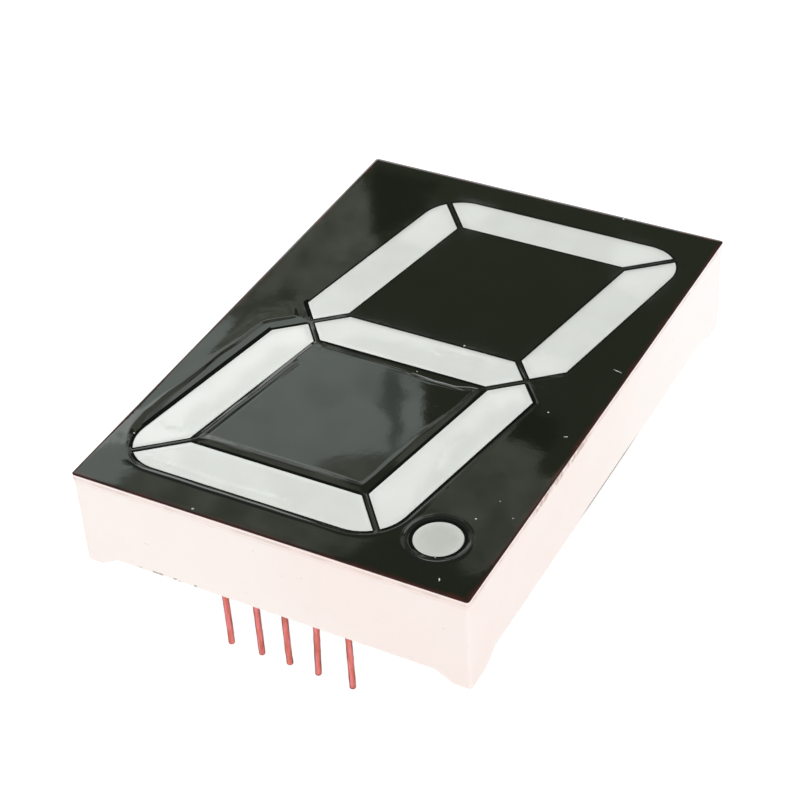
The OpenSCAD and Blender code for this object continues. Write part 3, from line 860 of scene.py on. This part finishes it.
# Lighter parts that fall on the windows, with what each adds, and one on the film
window_glints = [
    (1.7, [
        (-8.9, 0), (-7.6, 1.9), (7.7, 1.9), (8.6, 0.9), (6.4, 0.9), (5.2, 0.6), (4.2, 0.4), (3, 0.15),
        (1.8, 0.5), (0.5, 0.1), (-1, 0.4), (-3, 0.25), (-5, 0.1), (-6.4, -1.7), (-7.6, -1.7)]),
    (2.6, [
        (-9.2, -0.5), (-12.2, -2), (-12.6, -6), (-13.6, -11), (-14.4, -16), (-13.8, -18.8),
        (-10.6, -16.2), (-11.9, -15), (-11.2, -10.5), (-10.4, -6.6), (-10, -4.4), (-8.2, -2.4)]),
    (1.0, [
        (-8.2, -2.4), (-7.6, -3), (-9, -9), (-10, -16), (-10.6, -16.2), (-11.9, -15), (-11.2, -10.5),
        (-10.4, -6.6), (-10, -4.4)]),
    (1.4, [
        (9.2, -0.4), (7, -2.4), (7.2, -7), (5.6, -12), (4.6, -16.4), (7, -19.3), (8, -17), (7.6, -13),
        (7.2, -10), (7.8, -7.4), (8.6, -4.4), (9.2, -3)]),
    (2.4, [
        (8, -3.2), (8.9, -2.7), (9.3, -2.1), (9.1, -1.4), (9.7, -1.5), (9.9, -2.3), (9.2, -3.1),
        (8.4, -3.5)]),
    (1.5, [
        (-13.2, -19.3), (-11.4, -17.8), (-9.4, -18.4), (-10.6, -19.1), (-4, -19.7), (0, -19.5),
        (0, -20.5), (-12, -20.5)]),
    (0.7, [
        (-11.4, -17.8), (-10, -16.6), (-4, -16.6), (-1, -20), (-4, -19.7), (-10.6, -19.1)]),
    (1.0, [
        (-6.9, 19.6), (-4.7, 16.6), (-3, 16.6), (-3.4, 18), (-2, 20.5), (-6, 20.5)]),
    (0.8, [
        (8.8, 16.6), (10.4, 16.6), (13, 19.4), (11.4, 20.5), (8.2, 20.5)]),
    (1.0, [
        (-8.6, 18.8), (-5, 16.4), (-5.6, 12.6), (-9.4, 13)]),
    (0.6, [
        (-11.2, 2.2), (-9.6, 0.4), (-7.2, 2.4), (-7.4, 4), (-10.8, 4.6)]),
    (1.0, [
        (10, 16), (13, 18.8), (14.2, 17.5), (13.4, 13.4), (9.6, 14)]),
    (0.9, [
        (7.8, 2), (9.4, 0.3), (11.6, 2), (11.8, 4), (8.2, 3.4)]),
]
film_glints = [
    (1.2, [
        (-30, -11), (-14.6, -11), (-14.6, -19), (-30, -19)]),
]
columns, rows = 193, 233
spots = np.array([complex(x, y) for y in np.linspace(-30, 28, rows) for x in np.linspace(-24, 24, columns)])
ragged = spots + 0.35 * (swell_at(spots, 3, 7) + 1j * swell_at(spots, 3, 9)) + 0.35 * swell_at(spots, 1.1, 2)
patchy = 1 + 0.45 * swell_at(spots, 2.2, 6)[:, None] + 0.3 * swell_at(spots, 0.9, 11)[:, None]
dark_glow, dim_glow, bright_glow, window_glow = [np.array(colour) for colour in (
    (0.18, 0.22, 0.14), (0.65, 0.70, 0.56), (1.55, 1.75, 1.63), (0.12, 0.15, 0.1))]
half_lit = share_within(ragged, lit_part, 0.2)[:, None]
fully_lit = share_within(ragged, bright_part, 0.2)[:, None]
glows = dark_glow * (1 - half_lit) + dim_glow * half_lit * patchy
glows += fully_lit * (bright_glow * (0.85 + 0.15 * patchy) - glows)
for taken, outline in dim_parts:
    glows *= 1 - taken * share_within(ragged, outline, 0.3)[:, None]
on_window = np.any([within(spots, line) for line in digit_lines], axis=0)
on_window = np.clip(on_window * clearance(spots, digit_lines) / 0.4 - 0.4, 0, 1)[:, None]
glows += on_window * (window_glow - glows)
for added, outline in window_glints:
    glows += added * (0.7 + 0.3 * patchy) * on_window * share_within(ragged, outline, 0.25)[:, None]
for added, outline in film_glints:
    glows += added * patchy * share_within(ragged, outline, 0.6)[:, None]

# The cloth hangs four times as far from the mirrored camera as the face does
curtain_glow, times_as_far = 3, 4
cloth = bmesh.new()
glow = cloth.verts.layers.float_color.new("glow")
grid = []
for spot, colour in zip(spots, glows / curtain_glow):
    sight_line = Vector((spot.real, spot.imag, film_z)) - mirrored_eye
    vert = cloth.verts.new((mirrored_eye + sight_line * times_as_far) * MM)
    vert[glow] = (*colour, 1)
    grid.append(vert)
for first in range(0, (rows - 1) * columns, columns):
    for k in range(first, first + columns - 1):
        cloth.faces.new((grid[k], grid[k + 1], grid[k + columns + 1], grid[k + columns]))
lit = Finish("lit_curtain")
lit.set(
    Base_Color=(0, 0, 0, 1),
    Specular_IOR_Level=0.0,
    Emission_Strength=curtain_glow,
    Emission_Color=lit.place.node("Attribute", {"attribute_name": "glow"}, {}, "Color"),
)
add_scenery("lit_curtain", cloth, lit)

# ---- White card ---------------------------------------------------------------------
# A bright sheet of card that stands low behind the display, and catches in the ridges
# of the film.
bright = Finish("white_card")
bright.set(Base_Color=(0.8, 0.8, 0.8, 1), Roughness=0.9, Emission_Color=(1, 1, 1, 1), Emission_Strength=1.8)
card_sheet = bmesh.new()
bmesh.ops.create_grid(card_sheet, x_segments=1, y_segments=1, size=0.5)
card = add_scenery("white_card", card_sheet, bright)
card.location = (-0.35, 0.62, 0.22)
card.rotation_euler = (math.radians(90), 0, math.radians(30))
card.scale = (1.2, 0.45, 1)
